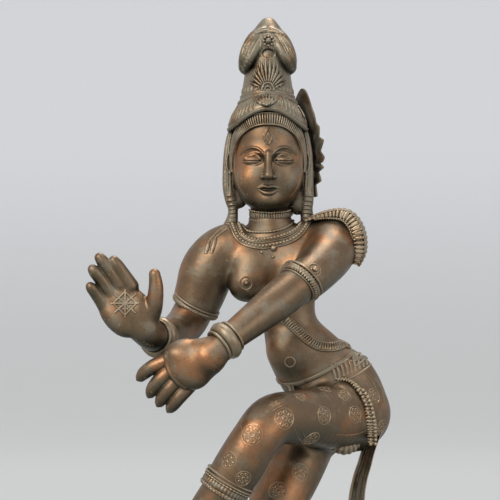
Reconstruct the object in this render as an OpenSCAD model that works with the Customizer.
// Dancing temple figure in cast brass on a lotus pedestal.
// The figure is cast in sections. Each section ends in a flat face with a round spigot that sits in a
// socket of its neighbour, and a band, ring or hem covers the seam. The standing foot is held to the
// pedestal by a stud, a washer and a nut. Sides are named for the figure: its right is at -x.
// Frame: origin at the centre of the pedestal's resting face, +z up, the figure faces -y.

/* [Figure] */
// Face length, from hairline to chin: every size of the figure follows it
face_len = 40; // [34:1:46]
// How far behind the pedestal's centre the standing foot is set
foot_back = 10; // [10:1:12]

/* [Pedestal] */
// Width of the square-cut plinth
plinth_w = 120; // [110:1:150]
// Depth of the plinth
plinth_d = 108; // [104:1:140]
// Height of the plinth, both steps
plinth_h = 14; // [12:1:20]
// Widest radius of the lotus
lotus_r = 51; // [48:1:51]
// Height of the lotus, plinth to standing surface
lotus_h = 31; // [28:1:36]
// Petals in each row
petals = 16; // [12:2:20]

/* [Fixing] */
// Diameter of the stud that holds the figure down
stud_d = 6; // [5:0.5:8]
// Diameter of the counterbore under the plinth
counterbore_d = 18; // [17:0.5:18]
// Depth of the counterbore
counterbore_h = 10; // [9:1:11]

/* [Hidden] */
$fn = 48;
unit_scale = face_len / 40;
pedestal_h = plinth_h + lotus_h;
sides = 16;
slip = 0.1;

skin = "#6b4a2f";
ornament = "#8a6a3c";
dark_patina = "#4c4634";

// ---- Section joints: [seam centre, direction into the socket, spigot radius, spigot length] ----
neck_joint = [[-7.5, 1.5, 236], [0, 0, -1], 6, 8];
waist_joint = [[18, 1, 161], [0.3, 0, -0.95], 8, 7];
left_shoulder_joint = [[23, -4, 222.5], [0.16, 0.8, 0.56], 6, 7];
right_shoulder_joint = [[-31, 1, 221], [0.9, 0.1, 0.1], 6, 7];
left_elbow_joint = [[5.6, -33.5, 203.6], [0.62, 0.45, 0.64], 5, 7];
right_elbow_joint = [[-45.2, 0, 191], [0.45, -0.2, 0.87], 5, 7];
left_wrist_joint = [[-30, -60.8, 176.8], [0.75, 0.4, 0.55], 3.5, 6];
right_wrist_joint = [[-62, -43, 178.5], [0.35, 0.92, -0.1], 3.5, 6];
raised_hip_joint = [[26, -9, 138], [0.6, 0.75, 0], 8, 7];
standing_hip_joint = [[12, 4, 130], [0.45, 0.55, 0.7], 8, 7];
raised_hem_joint = [[-29, -54, 108.5], [0.5, 0, 0.86], 5, 7];
standing_hem_joint = [[-7.5, -21, 56], [-0.15, -0.45, 0.87], 5, 7];
raised_ankle_joint = [[-48, -48.5, 81], [0.45, -0.1, 0.88], 3.5, 5];
standing_ankle_joint = [[1, 2, 14], [-0.1, -0.25, 0.96], 3.5, 5];

// ---- Vector and sweep helpers ----
function unit(v) = v / norm(v);
function xyz(s) = [s[0], s[1], s[2]];

// A smooth curve through stations of any length, with k steps between neighbours.
function curve_at(a, b, c, d, t) =
  0.5 * (2 * b + (c - a) * t + (2 * a - 5 * b + 4 * c - d) * t * t + (3 * b - a - 3 * c + d) * t * t * t);
function smooth(q, k) =
  let (n = len(q))
  [for (i = [0 : n - 2], j = [0 : k - 1])
      curve_at(q[max(i - 1, 0)], q[i], q[i + 1], q[min(i + 2, n - 1)], j / k), q[n - 1]];

// A ring of points round p, at right angles to d. The wide axis lies across ref.
function ring(p, d, rx, ry, ref, n = sides) =
  let (a = unit(cross(ref, d)), b = unit(cross(d, a)))
  [for (i = [0 : n - 1]) let (t = 360 * i / n) p + rx * cos(t) * a + ry * sin(t) * b];

function heading(q, i) = unit(xyz(q[min(i + 1, len(q) - 1)]) - xyz(q[max(i - 1, 0)]));

module skin_between(a, b) {
  hull() polyhedron(points = concat(a, b), faces = [[for (i = [0 : len(a) + len(b) - 1]) i]]);
}

// A round limb through stations [x, y, z, radius].
module limb(stations, steps = 2, n = sides, ref = [0.3, 0.2, 1]) {
  q = smooth(stations, steps);
  for (i = [0 : len(q) - 2])
    skin_between(
      ring(xyz(q[i]), heading(q, i), q[i][3], q[i][3], ref, n),
      ring(xyz(q[i + 1]), heading(q, i + 1), q[i + 1][3], q[i + 1][3], ref, n));
}

// A flat strap through stations [x, y, z, half width, half thickness], with its width across ref.
module strap(stations, steps = 2, n = 10, ref = [0, 1, 0]) {
  q = smooth(stations, steps);
  for (i = [0 : len(q) - 2])
    skin_between(
      ring(xyz(q[i]), heading(q, i), q[i][3], q[i][4], ref, n),
      ring(xyz(q[i + 1]), heading(q, i + 1), q[i + 1][3], q[i + 1][4], ref, n));
}

// A trunk of level oval sections [x, y, z, half width, half depth].
module trunk(sections, steps = 1, n = sides) {
  q = smooth(sections, steps);
  for (i = [0 : len(q) - 2])
    skin_between(
      ring(xyz(q[i]), [0, 0, 1], q[i][3], q[i][4], [0, 1, 0], n),
      ring(xyz(q[i + 1]), [0, 0, 1], q[i + 1][3], q[i + 1][4], [0, 1, 0], n));
}

// An oval body with half sizes r, drawn as a trunk between two levels given as shares of its height.
module oval(c, r, from = -0.98, to = 0.98, n = sides, layers = 10) {
  trunk([for (i = [0 : layers])
      let (s = from + (to - from) * i / layers, w = sqrt(1 - s * s))
      [c[0], c[1], c[2] + s * r[2], r[0] * w, r[1] * w]], 1, n);
}

module along(p, d) {
  v = unit(d);
  translate(p) rotate([0, acos(v[2]), atan2(v[1], v[0])]) children();
}

module spigot(j) { along(j[0] - 0.5 * unit(j[1]), j[1]) cylinder(h = j[3] + 0.5, r = j[2], $fn = 24); }
module socket(j) { along(j[0] - 2 * unit(j[1]), j[1]) cylinder(h = j[3] + 2.4, r = j[2] + slip, $fn = 24); }

// Everything on the far side of a seam, seen from the piece that carries the spigot.
module beyond(j, w = 54) { along(j[0], j[1]) translate([0, 0, 25]) cube([w, w, 50], center = true); }
// Everything on the spigot's side of a seam.
module behind(j, w = 54) { along(j[0], j[1]) translate([0, 0, -20]) cube([w, w, 40], center = true); }

// A band round a limb at p: a ring with a rounded rim.
module band(p, d, inner, outer, width, n = 24) {
  r = (outer - inner) * 0.4;
  along(p, d) rotate_extrude($fn = n) polygon([
    [inner, -width / 2], [outer - r, -width / 2], [outer, -width / 5], [outer, width / 5],
    [outer - r, width / 2], [inner, width / 2]]);
}

module place_figure() { translate([0, foot_back, pedestal_h]) scale(unit_scale) children(); }

// ---- Pedestal ----
module plinth() {
  step = plinth_h * 0.45;
  color(dark_patina) difference() {
    union() {
      translate([-plinth_w / 2, -plinth_d / 2, 0]) cube([plinth_w, plinth_d, step]);
      translate([-plinth_w / 2 + 3, -plinth_d / 2 + 3, step])
        cube([plinth_w - 6, plinth_d - 6, plinth_h - step]);
    }
    translate([0, foot_back, -1]) cylinder(h = counterbore_h + 1, d = counterbore_d);
    translate([0, foot_back, 0]) cylinder(h = plinth_h + 1, d = stud_d + 2 * slip);
  }
}

module lotus_base() {
  waist_r = lotus_r * 0.8;
  color(dark_patina) difference() {
    translate([0, 0, plinth_h]) rotate_extrude() polygon([
      [0, 0], [lotus_r - 3, 0], [lotus_r - 4, 3], [waist_r, lotus_h * 0.45], [waist_r, lotus_h * 0.52],
      [lotus_r - 7, lotus_h * 0.85], [lotus_r - 6, lotus_h * 0.9], [lotus_r - 6, lotus_h], [0, lotus_h]]);
    translate([0, foot_back, plinth_h - 1]) cylinder(h = lotus_h + 2, d = stud_d + 2 * slip);
  }
}

// One row of petals. Each is a ridged leaf from its root to its tip.
module petal_row(root, tip) {
  half_w = PI * lotus_r / petals * 0.86;
  mid = (root + tip) / 2;
  out = 3;
  for (i = [0 : petals - 1]) rotate([0, 0, (i + 0.5) * 360 / petals])
    hull() polyhedron(points = [
      [tip[0], 0, tip[1]], [tip[0] - out, 0, tip[1]],
      [mid[0] + out * 0.3, half_w, mid[1]], [mid[0] + out * 0.3, -half_w, mid[1]],
      [mid[0] + out, half_w * 0.45, mid[1]], [mid[0] + out, -half_w * 0.45, mid[1]],
      [root[0], half_w * 0.8, root[1]], [root[0], -half_w * 0.8, root[1]],
      [root[0] - 6, half_w * 0.8, root[1]], [root[0] - 6, -half_w * 0.8, root[1]],
      [mid[0] - 6, half_w, mid[1]], [mid[0] - 6, -half_w, mid[1]]],
      faces = [[for (k = [0 : 11]) k]]);
}

module lotus_lower_petals() {
  color(dark_patina) difference() {
    petal_row([lotus_r * 0.84, plinth_h + lotus_h * 0.43], [lotus_r + 0.6, plinth_h + 0.4]);
    lotus_core();
  }
}

module lotus_upper_petals() {
  color(dark_patina) difference() {
    petal_row([lotus_r * 0.82, plinth_h + lotus_h * 0.55], [lotus_r * 0.97, plinth_h + lotus_h * 0.9]);
    lotus_core();
  }
}

// The lotus body that the petals are cut away from, a hair larger than lotus_base.
module lotus_core() {
  waist_r = lotus_r * 0.8;
  translate([0, 0, plinth_h]) rotate_extrude($fn = 48) polygon([
    [0, -1], [lotus_r - 2.9, -1], [lotus_r - 2.9, 0], [lotus_r - 3.9, 3], [waist_r + 0.1, lotus_h * 0.45],
    [waist_r + 0.1, lotus_h * 0.52], [lotus_r - 6.9, lotus_h * 0.85], [lotus_r - 5.9, lotus_h * 0.9],
    [lotus_r - 5.9, lotus_h + 0.1], [0, lotus_h + 0.1]]);
}

// ---- Fixing ----
nut_h = 5;
washer_t = 1.2;
stud_low = counterbore_h - washer_t - nut_h - 1.5;
stud_reach = 8;
stud_high = pedestal_h + stud_reach;

module foot_stud() {
  color("silver") translate([0, foot_back, stud_low]) cylinder(h = stud_high - stud_low, d = stud_d);
}

module stud_washer() {
  color("silver") translate([0, foot_back, counterbore_h - washer_t]) difference() {
    cylinder(h = washer_t, d = counterbore_d - 4);
    translate([0, 0, -1]) cylinder(h = washer_t + 2, d = stud_d + 0.4);
  }
}

module stud_nut() {
  color("silver") translate([0, foot_back, counterbore_h - washer_t - nut_h]) difference() {
    cylinder(h = nut_h, d = stud_d * 1.9, $fn = 6);
    translate([0, 0, -1]) cylinder(h = nut_h + 2, d = stud_d);
  }
}

// ---- Legs ----
standing_thigh_line = [[16, 11, 142, 14], [13, 6, 132, 15.5], [4, -8, 112, 14.8], [-6, -23, 93, 13.2],
  [-12, -34, 80, 11.6], [-11, -29, 67, 11.2], [-7.5, -21, 56, 10.2], [-6.5, -18, 51, 10]];
standing_shin_line = [[-9, -24.5, 63, 9.6], [-7.5, -21, 56, 9.6], [-3.5, -10.5, 36, 9],
  [-0.5, -2.5, 22, 7.4], [1, 2, 14, 6.6], [1.6, 3.8, 11, 6.4]];
raised_thigh_line = [[36, 3, 137.5, 16], [30, -5, 137.5, 16.5], [18, -20, 138, 14.6], [5, -36, 139.5, 12.6],
  [-7, -50, 139.5, 11.6], [-15.5, -56, 130.5, 10.8], [-22.5, -56, 119, 11.2], [-29, -54, 108.5, 11],
  [-31.5, -53.2, 104.5, 11]];
raised_shin_line = [[-26, -55, 113.5, 10.4], [-29, -54, 108.5, 10.4], [-37, -51.5, 97, 9.6],
  [-44, -49.5, 87, 7.6], [-48, -48.5, 81, 6.8], [-49.5, -48.2, 78.5, 6.6]];

// A limb cut flat at both seams: the lower joint's socket is in this piece, the upper joint's spigot on it.
module cast_length(line, upper, lower) {
  difference() {
    union() {
      difference() {
        limb(line);
        beyond(upper);
        behind(lower);
      }
      spigot(upper);
    }
    socket(lower);
  }
}

module standing_thigh() {
  color(skin) cast_length(standing_thigh_line, standing_hip_joint, standing_hem_joint);
}

module standing_shin() {
  color(skin) cast_length(standing_shin_line, standing_hem_joint, standing_ankle_joint);
}

module raised_thigh() {
  color(skin) cast_length(raised_thigh_line, raised_hip_joint, raised_hem_joint);
}

module raised_shin() {
  color(skin) cast_length(raised_shin_line, raised_hem_joint, raised_ankle_joint);
}

// A foot from ankle a to the ball b, with toes fanned across w. Half width hw at the ball.
module foot(a, heel, b, toes, hw, w) {
  hull() {
    translate(a) sphere(r = 6, $fn = 12);
    translate(heel) sphere(r = 5.2, $fn = 12);
    for (s = [-1, 1]) translate(b + s * (hw - 3) * w) sphere(r = 3, $fn = 8);
  }
  hull() for (s = [-1, 1]) {
    translate(b + s * (hw - 3) * w) sphere(r = 3, $fn = 8);
    translate((b + toes) / 2 + s * (hw - 2.6) * w) sphere(r = 2.8, $fn = 8);
  }
  for (i = [0 : 4]) {
    side = (i - 2) / 2;
    reach = 1 - 0.1 * i;
    thick = i == 0 ? 2.4 : 1.8;
    hull() {
      translate(b + side * (hw - 2) * w) sphere(r = thick, $fn = 8);
      translate(b + (toes - b) * reach + side * (hw - 1.6) * w) sphere(r = thick, $fn = 8);
    }
  }
}

module standing_foot() {
  across = unit([0.84, -0.54, 0]);
  stud_hole = (stud_reach + 0.5) / unit_scale;
  color(skin) difference() {
    union() {
      difference() {
        union() {
          foot([1, 2, 9], [3, 6, 5.2], [-9, -13.5, 3], [-13, -20, 2.6], 8, across);
          hull() {
            translate([1.4, 3, 12]) sphere(r = 6.2, $fn = 16);
            translate([1, 2, 8]) sphere(r = 5.6, $fn = 16);
          }
        }
        beyond(standing_ankle_joint);
        translate([-60, -60, -40]) cube([120, 120, 40]);
      }
      spigot(standing_ankle_joint);
    }
    translate([0, 0, -1]) cylinder(h = stud_hole + 1, d = (stud_d + 2 * slip) / unit_scale, $fn = 24);
  }
}

module raised_foot() {
  across = unit([0.1, -0.9, 0.42]);
  color(skin) union() {
    difference() {
      union() {
        foot([-52, -48, 76], [-50.5, -47.5, 69.5], [-73.5, -52, 67], [-81, -53, 62], 8, across);
        hull() {
          translate([-48.6, -48.5, 79.5]) sphere(r = 6.4, $fn = 16);
          translate([-51.5, -48, 76]) sphere(r = 6, $fn = 16);
        }
      }
      beyond(raised_ankle_joint);
    }
    spigot(raised_ankle_joint);
  }
}

module standing_anklet() {
  color(ornament) difference() {
    band([-0.2, -1, 19], standing_ankle_joint[1], 6, 9.4, 4);
    limb(standing_shin_line);
  }
}

module raised_anklet() {
  color(ornament) difference() {
    band([-46, -49, 84.5], raised_ankle_joint[1], 6, 9.6, 4);
    limb(raised_shin_line);
  }
}

module hem_rings(p, d, r) {
  for (i = [-1, 1]) along(p + 1.6 * i * unit(d), d)
    rotate_extrude($fn = 20) translate([r, 0]) circle(r = 1.7, $fn = 6);
}

module standing_hem_ring() {
  color(ornament) difference() {
    hem_rings(standing_hem_joint[0], standing_hem_joint[1], 10.4);
    limb(standing_thigh_line);
    limb(standing_shin_line);
  }
}

module raised_hem_ring() {
  color(ornament) difference() {
    hem_rings(raised_hem_joint[0], raised_hem_joint[1], 11.2);
    limb(raised_thigh_line);
    limb(raised_shin_line);
  }
}

// ---- Hips ----
body_sections = [[34, 2, 123.5, 9, 9], [32.5, 2, 129, 17, 14], [30, 2, 137, 22, 17], [26, 2, 146, 24.3, 17],
  [21.5, 1, 156, 26, 15.2], [18.5, 0.5, 161, 26, 14.2], [16, 0, 166, 25, 13.2], [11.5, 0, 171, 22, 12.4],
  [6.6, 0, 178, 17, 11.4], [2.4, 0, 186, 13.6, 11], [-2, 0, 195, 17, 12.6], [-4.5, 0, 204, 21, 14.6],
  [-5, 0.5, 214, 23, 15], [-5.5, 1, 222, 21, 12.5], [-6.5, 1.5, 227, 15, 10.5], [-7, 1.5, 230.5, 11.2, 10],
  [-7.5, 1.5, 236, 9.9, 9.6]];
pelvis_sections = [for (s = body_sections) if (s[2] < 180) s];
torso_sections = [for (s = body_sections) if (s[2] > 140) s];

// Centre and half sizes of the trunk at height z.
function body_at(z) = [for (k = [0, 1, 3, 4]) lookup(z, [for (s = body_sections) [s[2], s[k]]])];

// A closed loop on the trunk: z0 is its middle height and dz its rise towards the figure's left.
function body_loop(z0, dz, half_w, half_t, n) =
  [for (i = [0 : n + 1])
      let (t = 360 * i / n, z = z0 + dz * cos(t), b = body_at(z))
        [b[0] + (b[2] + 0.5) * cos(t), b[1] + (b[3] + 0.5) * sin(t), z, half_w, half_t]];

module pelvis() {
  color(skin) difference() {
    trunk(pelvis_sections);
    behind(waist_joint, 80);
    difference() { limb(raised_thigh_line); beyond(raised_hip_joint); }
    difference() { limb(standing_thigh_line); beyond(standing_hip_joint); }
    socket(raised_hip_joint);
    socket(standing_hip_joint);
    socket(waist_joint);
  }
}

module loincloth_flap() {
  color(skin) difference() {
    strap([[31, -9, 131, 8, 3], [28, -8, 124, 8, 3], [26.5, -6.5, 119, 6, 2.4]], 3, 16, [0, 1, 0.2]);
    trunk(pelvis_sections);
    limb(raised_thigh_line);
    limb(standing_thigh_line);
  }
}

module girdle() {
  color(ornament) difference() {
    strap(body_loop(162, 7.5, 2.6, 1.5, 20), 1, 8, [0, 0, 1]);
    trunk(body_sections);
    limb(raised_thigh_line, 1);
  }
}

module hip_tassel() {
  color(ornament) difference() {
    limb([[24, -15, 152, 2], [33, -17, 147, 2.6], [40, -14, 140, 3], [43, -11, 131, 3.2],
      [42.6, -10.5, 124, 3]], 3, 12);
    trunk(pelvis_sections);
    limb(raised_thigh_line);
  }
}

sash_line = [[46, -5, 133, 4.4, 2.2], [43.6, -5, 126, 4.2, 2.2], [41.2, -4.6, 119.5, 4, 2.1],
  [37.6, -4, 107, 4.4, 1.9],
  [35.5, -3, 94, 5, 1.8], [37.5, -2, 70, 5.2, 1.7], [41, -1, 50, 5, 1.6], [40.5, 0, 30, 5.2, 1.6],
  [36, 0, 12, 5.6, 1.8], [33.5, 0, 0.2, 6, 2.2], [33, 0, -4, 6, 2.2]];

module sash_tail() {
  color(ornament) difference() {
    intersection() {
      strap(sash_line, 2, 12, [0, 1, 0]);
      translate([0, -60, 0]) cube([120, 120, 200]);
    }
    trunk(pelvis_sections);
  }
}

// ---- Trunk and its ornaments ----
module shoulder_mass() {
  limb([[-38, 1, 216, 11], [-31, 1, 220.5, 11.4], [-8, 1, 222, 9.4], [24, 1, 225.5, 11.6],
    [30, 2, 224.5, 11]], 1, 14, [0.1, 0.3, 1]);
  for (s = [[-18, 203], [7, 206]]) oval([s[0], -8, s[1]], [11, 10.5, 10], -0.9, 0.9, 12, 4);
}

module torso() {
  color(skin) difference() {
    union() {
      difference() {
        union() {
          trunk(torso_sections);
          shoulder_mass();
        }
        behind(right_shoulder_joint);
        beyond(waist_joint, 80);
      }
      spigot(waist_joint);
    }
    socket(neck_joint);
    socket(left_shoulder_joint);
    socket(right_shoulder_joint);
    difference() { limb(left_upper_arm_line); beyond(left_shoulder_joint, 40); }
  }
}

// A garland strap round the waist, high on the figure's right and low on its left hip.
module waist_garland() {
  color(ornament) difference() {
    strap(body_loop(180, -8, 2.4, 1.5, 20), 1, 8, [0, 0, 1]);
    trunk(torso_sections);
  }
}

// A string of beads round the neck: level at the shoulders, hanging by front and back on chest and nape.
module neck_loop(c, rx, ry, front, back, r) {
  q = [for (i = [0 : 25]) let (t = 360 * i / 24)
    [c[0] + rx * cos(t), c[1] + ry * sin(t), c[2] - front * max(0, -sin(t)) - back * max(0, sin(t)), r]];
  limb(q, 1, 6, [0, 0, 1]);
}

module choker() {
  color(ornament) difference() {
    neck_loop([-7.6, 1.3, 237.2], 10.7, 10.3, 2.6, 0.4, 1.6);
    head_solid();
    trunk(torso_sections);
  }
}

module necklace_inner() {
  color(ornament) difference() {
    neck_loop([-9, 0.3, 233], 14.2, 12.9, 7, 4.6, 1.6);
    trunk(torso_sections);
    shoulder_mass();
    limb(right_upper_arm_line);
    limb(left_upper_arm_line);
  }
}

module outer_row() { neck_loop([-8, 0, 233.6], 19, 13.2, 10, 8, 1.6); }

module necklace_outer() {
  color(ornament) difference() {
    outer_row();
    trunk(torso_sections);
    shoulder_mass();
    limb(right_upper_arm_line);
    limb(left_upper_arm_line);
    left_shoulder_tassel_shape();
  }
}

module pendant() {
  color(ornament) difference() {
    union() {
      along([-6, -11, 219.5], [0, -1, 0.2]) cylinder(h = 5.6, r = 2.8, $fn = 24);
      along([-6, -16, 220.5], [0, -1, 0.2]) cylinder(h = 1.8, r = 1.4, $fn = 24);
    }
    trunk(torso_sections);
    outer_row();
  }
}

// ---- Arms ----
left_upper_arm_line = [[25, 4, 228, 12], [24, 0, 225, 12.6], [22, -9, 219, 12.6], [17, -20, 212.5, 11.6],
  [10.5, -29.5, 206.6, 10.6], [5.6, -33.5, 203.6, 10.2], [2, -36, 201.5, 10]];
right_upper_arm_line = [[-27, 1, 224, 10.5], [-31, 1, 221, 11.6], [-38.5, 1, 211, 13.4],
  [-42, 0.8, 201, 12.8], [-45.2, 0, 191, 11.4], [-47, -0.6, 187, 11]];
left_forearm_line = [[10, -29.8, 206.6, 9.4], [5.6, -33.5, 203.6, 9.4], [-4, -42, 196, 9],
  [-14, -50, 188.5, 8],
  [-24, -57.5, 181, 7], [-30, -60.8, 176.8, 6.8], [-33, -62, 174.6, 6.8]];
right_forearm_line = [[-44, 1, 193.5, 10], [-45.2, 0, 191, 10], [-49, -5, 184, 9.6],
  [-53.5, -15, 180, 8.8], [-58, -29, 178.4, 7.9],
  [-62, -43, 178.5, 7.2], [-63.2, -46, 178.7, 7.2]];

module left_upper_arm() {
  color(skin) cast_length(left_upper_arm_line, left_shoulder_joint, left_elbow_joint);
}

module right_upper_arm() {
  color(skin) cast_length(right_upper_arm_line, right_shoulder_joint, right_elbow_joint);
}

module left_forearm() {
  color(skin) cast_length(left_forearm_line, left_elbow_joint, left_wrist_joint);
}

module right_forearm() {
  color(skin) cast_length(right_forearm_line, right_elbow_joint, right_wrist_joint);
}

// A finger is a chain of small stations from knuckle to tip.
module finger(a, b, c, r) {
  limb([concat(a, [r]), concat(b, [r * 0.95]), concat(c, [r * 0.7])], 2, 8, [0.2, 0.9, 0.3]);
}

module left_hand() {
  color(skin) union() {
    difference() {
      union() {
        hull() {
          translate([-29, -60.4, 177.6]) sphere(r = 6.8, $fn = 14);
          translate([-34, -61, 172]) sphere(r = 8, $fn = 14);
        }
        hull() {
          translate([-34, -61, 172]) sphere(r = 8, $fn = 14);
          translate([-45, -59, 174]) sphere(r = 5.6, $fn = 12);
          translate([-49, -59, 166]) sphere(r = 4.4, $fn = 12);
          translate([-36.5, -59, 154]) sphere(r = 4.2, $fn = 12);
        }
        finger([-52, -59, 168], [-60, -59, 165], [-68, -57, 160], 3.6);
        finger([-49, -59, 163], [-56, -59, 158], [-63, -57, 152.5], 3.5);
        finger([-45, -59, 159], [-52, -59, 154], [-58.5, -57, 149], 3.4);
        finger([-40, -59, 155], [-46.5, -59, 150], [-53, -57, 145.5], 3.5);
        finger([-46, -55, 174], [-54, -51, 171], [-58.5, -49, 166.5], 3.4);
      }
      beyond(left_wrist_joint);
    }
    spigot(left_wrist_joint);
  }
}

module right_hand() {
  color(skin) union() {
    difference() {
      union() {
        hull() {
          translate([-61.6, -42, 178.5]) sphere(r = 7, $fn = 14);
          translate([-66, -49, 180]) sphere(r = 7, $fn = 14);
        }
        hull() {
          translate([-66, -49, 180]) sphere(r = 7, $fn = 14);
          translate([-70, -52, 203]) sphere(r = 4, $fn = 12);
          translate([-86, -53, 196]) sphere(r = 4, $fn = 12);
          translate([-80, -53, 206]) sphere(r = 3.6, $fn = 12);
        }
        finger([-72, -53, 204], [-77, -53, 210], [-81.5, -54, 215], 3.2);
        finger([-77, -54, 205], [-83, -55, 211.5], [-88, -56, 217], 3.3);
        finger([-82, -54, 201], [-87.5, -56, 206.5], [-91.5, -58, 211], 3.1);
        finger([-86, -54, 196], [-90, -56, 200], [-92.5, -58, 203.5], 2.8);
        finger([-64, -52, 189], [-61.5, -55, 199], [-62, -56, 210], 3.6);
      }
      beyond(right_wrist_joint);
    }
    spigot(right_wrist_joint);
  }
}

module left_armlet() {
  color(ornament) difference() {
    band([7, -32.4, 205], left_elbow_joint[1], 9.6, 12.6, 5);
    limb(left_upper_arm_line);
    limb(left_forearm_line);
    trunk(torso_sections);
    shoulder_mass();
  }
}

module right_armlet() {
  color(ornament) difference() {
    band([-44.6, -0.3, 192.2], right_elbow_joint[1], 10.2, 13.4, 4);
    limb(right_upper_arm_line);
    limb(right_forearm_line);
  }
}

module left_bangle() {
  color(ornament) difference() {
    band([-29, -60.2, 177.6], left_wrist_joint[1], 6.2, 9.6, 9);
    limb(left_forearm_line);
  }
}

module right_bangle() {
  color(ornament) difference() {
    band([-60.2, -38.4, 178], right_wrist_joint[1], 6.6, 10.4, 6);
    limb(right_forearm_line);
  }
}

module left_shoulder_tassel_shape() {
  strap([[15, 1, 236, 3, 2.4], [24, 1, 239.5, 4.4, 3], [32, 1.5, 237, 5.5, 3.6], [37.5, 2.5, 229, 6.2, 4],
    [39, 3.5, 220, 6.2, 4.2], [36.5, 4, 213.5, 4.5, 3.6]], 3, 14, [0.3, -1, 0.2]);
}

module left_shoulder_tassel() {
  color(ornament) difference() {
    left_shoulder_tassel_shape();
    trunk(torso_sections);
    shoulder_mass();
    limb(left_upper_arm_line);
  }
}

module right_shoulder_tassel() {
  color(ornament) difference() {
    union() {
      limb([[-27.5, -8, 229, 1.4], [-31.5, -11, 222.5, 1.5], [-35, -12.6, 215.5, 1.4]], 4, 10);
      limb([[-24, -8.5, 228.5, 1.4], [-27.5, -11.6, 221.5, 1.5], [-30.5, -12.8, 214.5, 1.4]], 4, 10);
    }
    trunk(torso_sections);
    shoulder_mass();
    difference() { limb(right_upper_arm_line); beyond(right_shoulder_joint); }
  }
}

// ---- Head, crown and halo ----
head_c = [-8.5, 0, 263];
crown_axis = [-8.7, 1];
halo_c = [6.3, 17, 264];
halo_out = [0.707, 0.707, 0];

module head_solid() {
  oval(head_c, [17.5, 18.5, 22.5], -0.97, 0.86);
  limb([[-7.5, 1.5, 236, 9.8], [-7.5, 1.5, 241, 9.8], [-8, 1, 248, 10.5]], 3);
}

module head() {
  color(skin) difference() {
    union() {
      head_solid();
      spigot(neck_joint);
    }
    translate([crown_axis[0], crown_axis[1], 279]) cylinder(h = 20, r = 5 + slip);
    along(halo_c - 8 * halo_out, halo_out) cylinder(h = 12, r = 2 + slip);
  }
}

// An ear with its long drop ornament, from the hairline to the shoulder.
module ear_drop(side) {
  x = side * 19;
  strap([[head_c[0] + x * 0.9, 2, 278, 2.4, 2.6], [head_c[0] + x, 1.5, 268, 3.2, 3.4],
    [head_c[0] + x * 1.02, 1, 256, 3.4, 3.6], [head_c[0] + x * 0.95, 0.5, 246, 3.2, 3.4],
    [head_c[0] + x * 0.86, 0.5, 234, 3, 3]], 2, 10, [0, 1, 0]);
}

module left_ear_pendant() {
  color(ornament) difference() {
    ear_drop(1);
    head_solid();
    shoulder_mass();
    left_shoulder_tassel_shape();
  }
}

module right_ear_pendant() {
  color(ornament) difference() {
    ear_drop(-1);
    head_solid();
    shoulder_mass();
    trunk(torso_sections);
  }
}

module headband() {
  color(ornament) difference() {
    trunk([[-8.6, -0.5, 278.5, 17.2, 18.4], [-8.6, -0.3, 281, 16.6, 18], [-8.6, -0.1, 284, 15.2, 17]], 3);
    head_solid();
    crown_shape(279, 284.2);
  }
}

// The crown's outline as a turned profile: [radius, height].
crown_profile = [[18.6, 283], [19.6, 284.5], [19.2, 287], [17, 291], [15.3, 295], [14, 297]];
tower_profile = [[13.9, 297], [13, 300], [12, 304], [11.4, 308.5]];
bun_profile = [[10.6, 308.5], [13.8, 309.8], [14.6, 313], [14.3, 317.5], [12.6, 322], [10, 326.5],
  [7.4, 330.5], [5.4, 334], [2.8, 335.8], [0, 336.2]];

module turned(profile, low, high) {
  translate([crown_axis[0], crown_axis[1], 0])
    rotate_extrude() polygon(concat([[0, low]], profile, [[0, high]]));
}

module crown_shape(low, high) {
  translate([crown_axis[0], crown_axis[1], low]) cylinder(h = high - low, r = 13.5);
}

module crown_rim() {
  color(ornament) difference() {
    turned(crown_profile, 283, 297);
    translate([crown_axis[0], crown_axis[1], 282]) cylinder(h = 16, r = 5 + slip);
    translate([crown_axis[0], crown_axis[1], 282.9]) cylinder(h = 1.5, r = 13.6);
  }
}

module crown_tower() {
  color(ornament) difference() {
    union() {
      turned(tower_profile, 297, 308.5);
      translate([crown_axis[0], crown_axis[1], 279.4]) cylinder(h = 18, r = 5);
    }
    translate([crown_axis[0], crown_axis[1], 302]) cylinder(h = 8, r = 4 + slip);
  }
}

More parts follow.
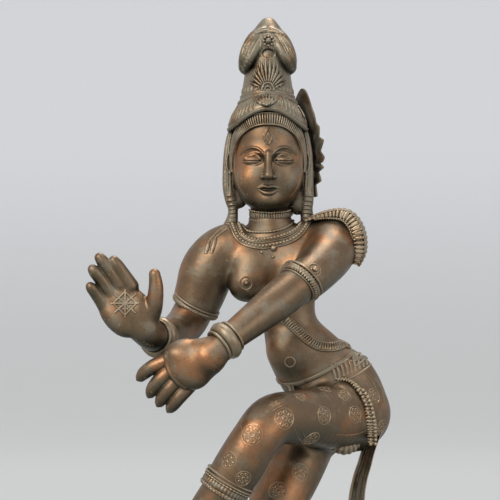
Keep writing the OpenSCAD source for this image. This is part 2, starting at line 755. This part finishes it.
module crown_bun() {
  color(ornament) union() {
    turned(bun_profile, 308.5, 336.2);
    translate([crown_axis[0], crown_axis[1], 302.4]) cylinder(h = 7, r = 4);
  }
}

// A pointed oval plate with flame points round its rim, set across halo_out.
module halo_outline() {
  points = 18;
  polygon([for (i = [0 : 2 * points - 1])
    let (t = 90 + i * 180 / points, reach = i % 2 == 0 ? 1.2 : 1, peak = i == 0 ? 7 : 0)
      [15.6 * reach * cos(t), 25.6 * reach * sin(t) + peak]]);
}

module halo_plate() {
  color(dark_patina) difference() {
    translate(halo_c) rotate([0, 0, -45]) rotate([90, 0, 0])
      linear_extrude(height = 2, center = true) halo_outline();
    along(halo_c - 4 * halo_out, halo_out) cylinder(h = 10, r = 2 + slip);
  }
}

module halo_pin() {
  color(ornament) union() {
    along(halo_c - 7.6 * halo_out, halo_out) cylinder(h = 10, r = 2);
    along(halo_c + 1.1 * halo_out, halo_out) cylinder(h = 1.4, r = 3.4);
  }
}

plinth();
lotus_base();
lotus_lower_petals();
lotus_upper_petals();
foot_stud();
stud_washer();
stud_nut();
place_figure() standing_foot();
place_figure() standing_anklet();
place_figure() standing_shin();
place_figure() standing_hem_ring();
place_figure() standing_thigh();
place_figure() raised_foot();
place_figure() raised_anklet();
place_figure() raised_shin();
place_figure() raised_hem_ring();
place_figure() raised_thigh();
place_figure() pelvis();
place_figure() loincloth_flap();
place_figure() girdle();
place_figure() hip_tassel();
place_figure() sash_tail();
place_figure() torso();
place_figure() waist_garland();
place_figure() choker();
place_figure() necklace_inner();
place_figure() necklace_outer();
place_figure() pendant();
place_figure() left_upper_arm();
place_figure() left_armlet();
place_figure() left_forearm();
place_figure() left_bangle();
place_figure() left_hand();
place_figure() right_upper_arm();
place_figure() right_armlet();
place_figure() right_forearm();
place_figure() right_bangle();
place_figure() right_hand();
place_figure() left_shoulder_tassel();
place_figure() right_shoulder_tassel();
place_figure() head();
place_figure() left_ear_pendant();
place_figure() right_ear_pendant();
place_figure() headband();
place_figure() crown_rim();
place_figure() crown_tower();
place_figure() crown_bun();
place_figure() halo_plate();
place_figure() halo_pin();
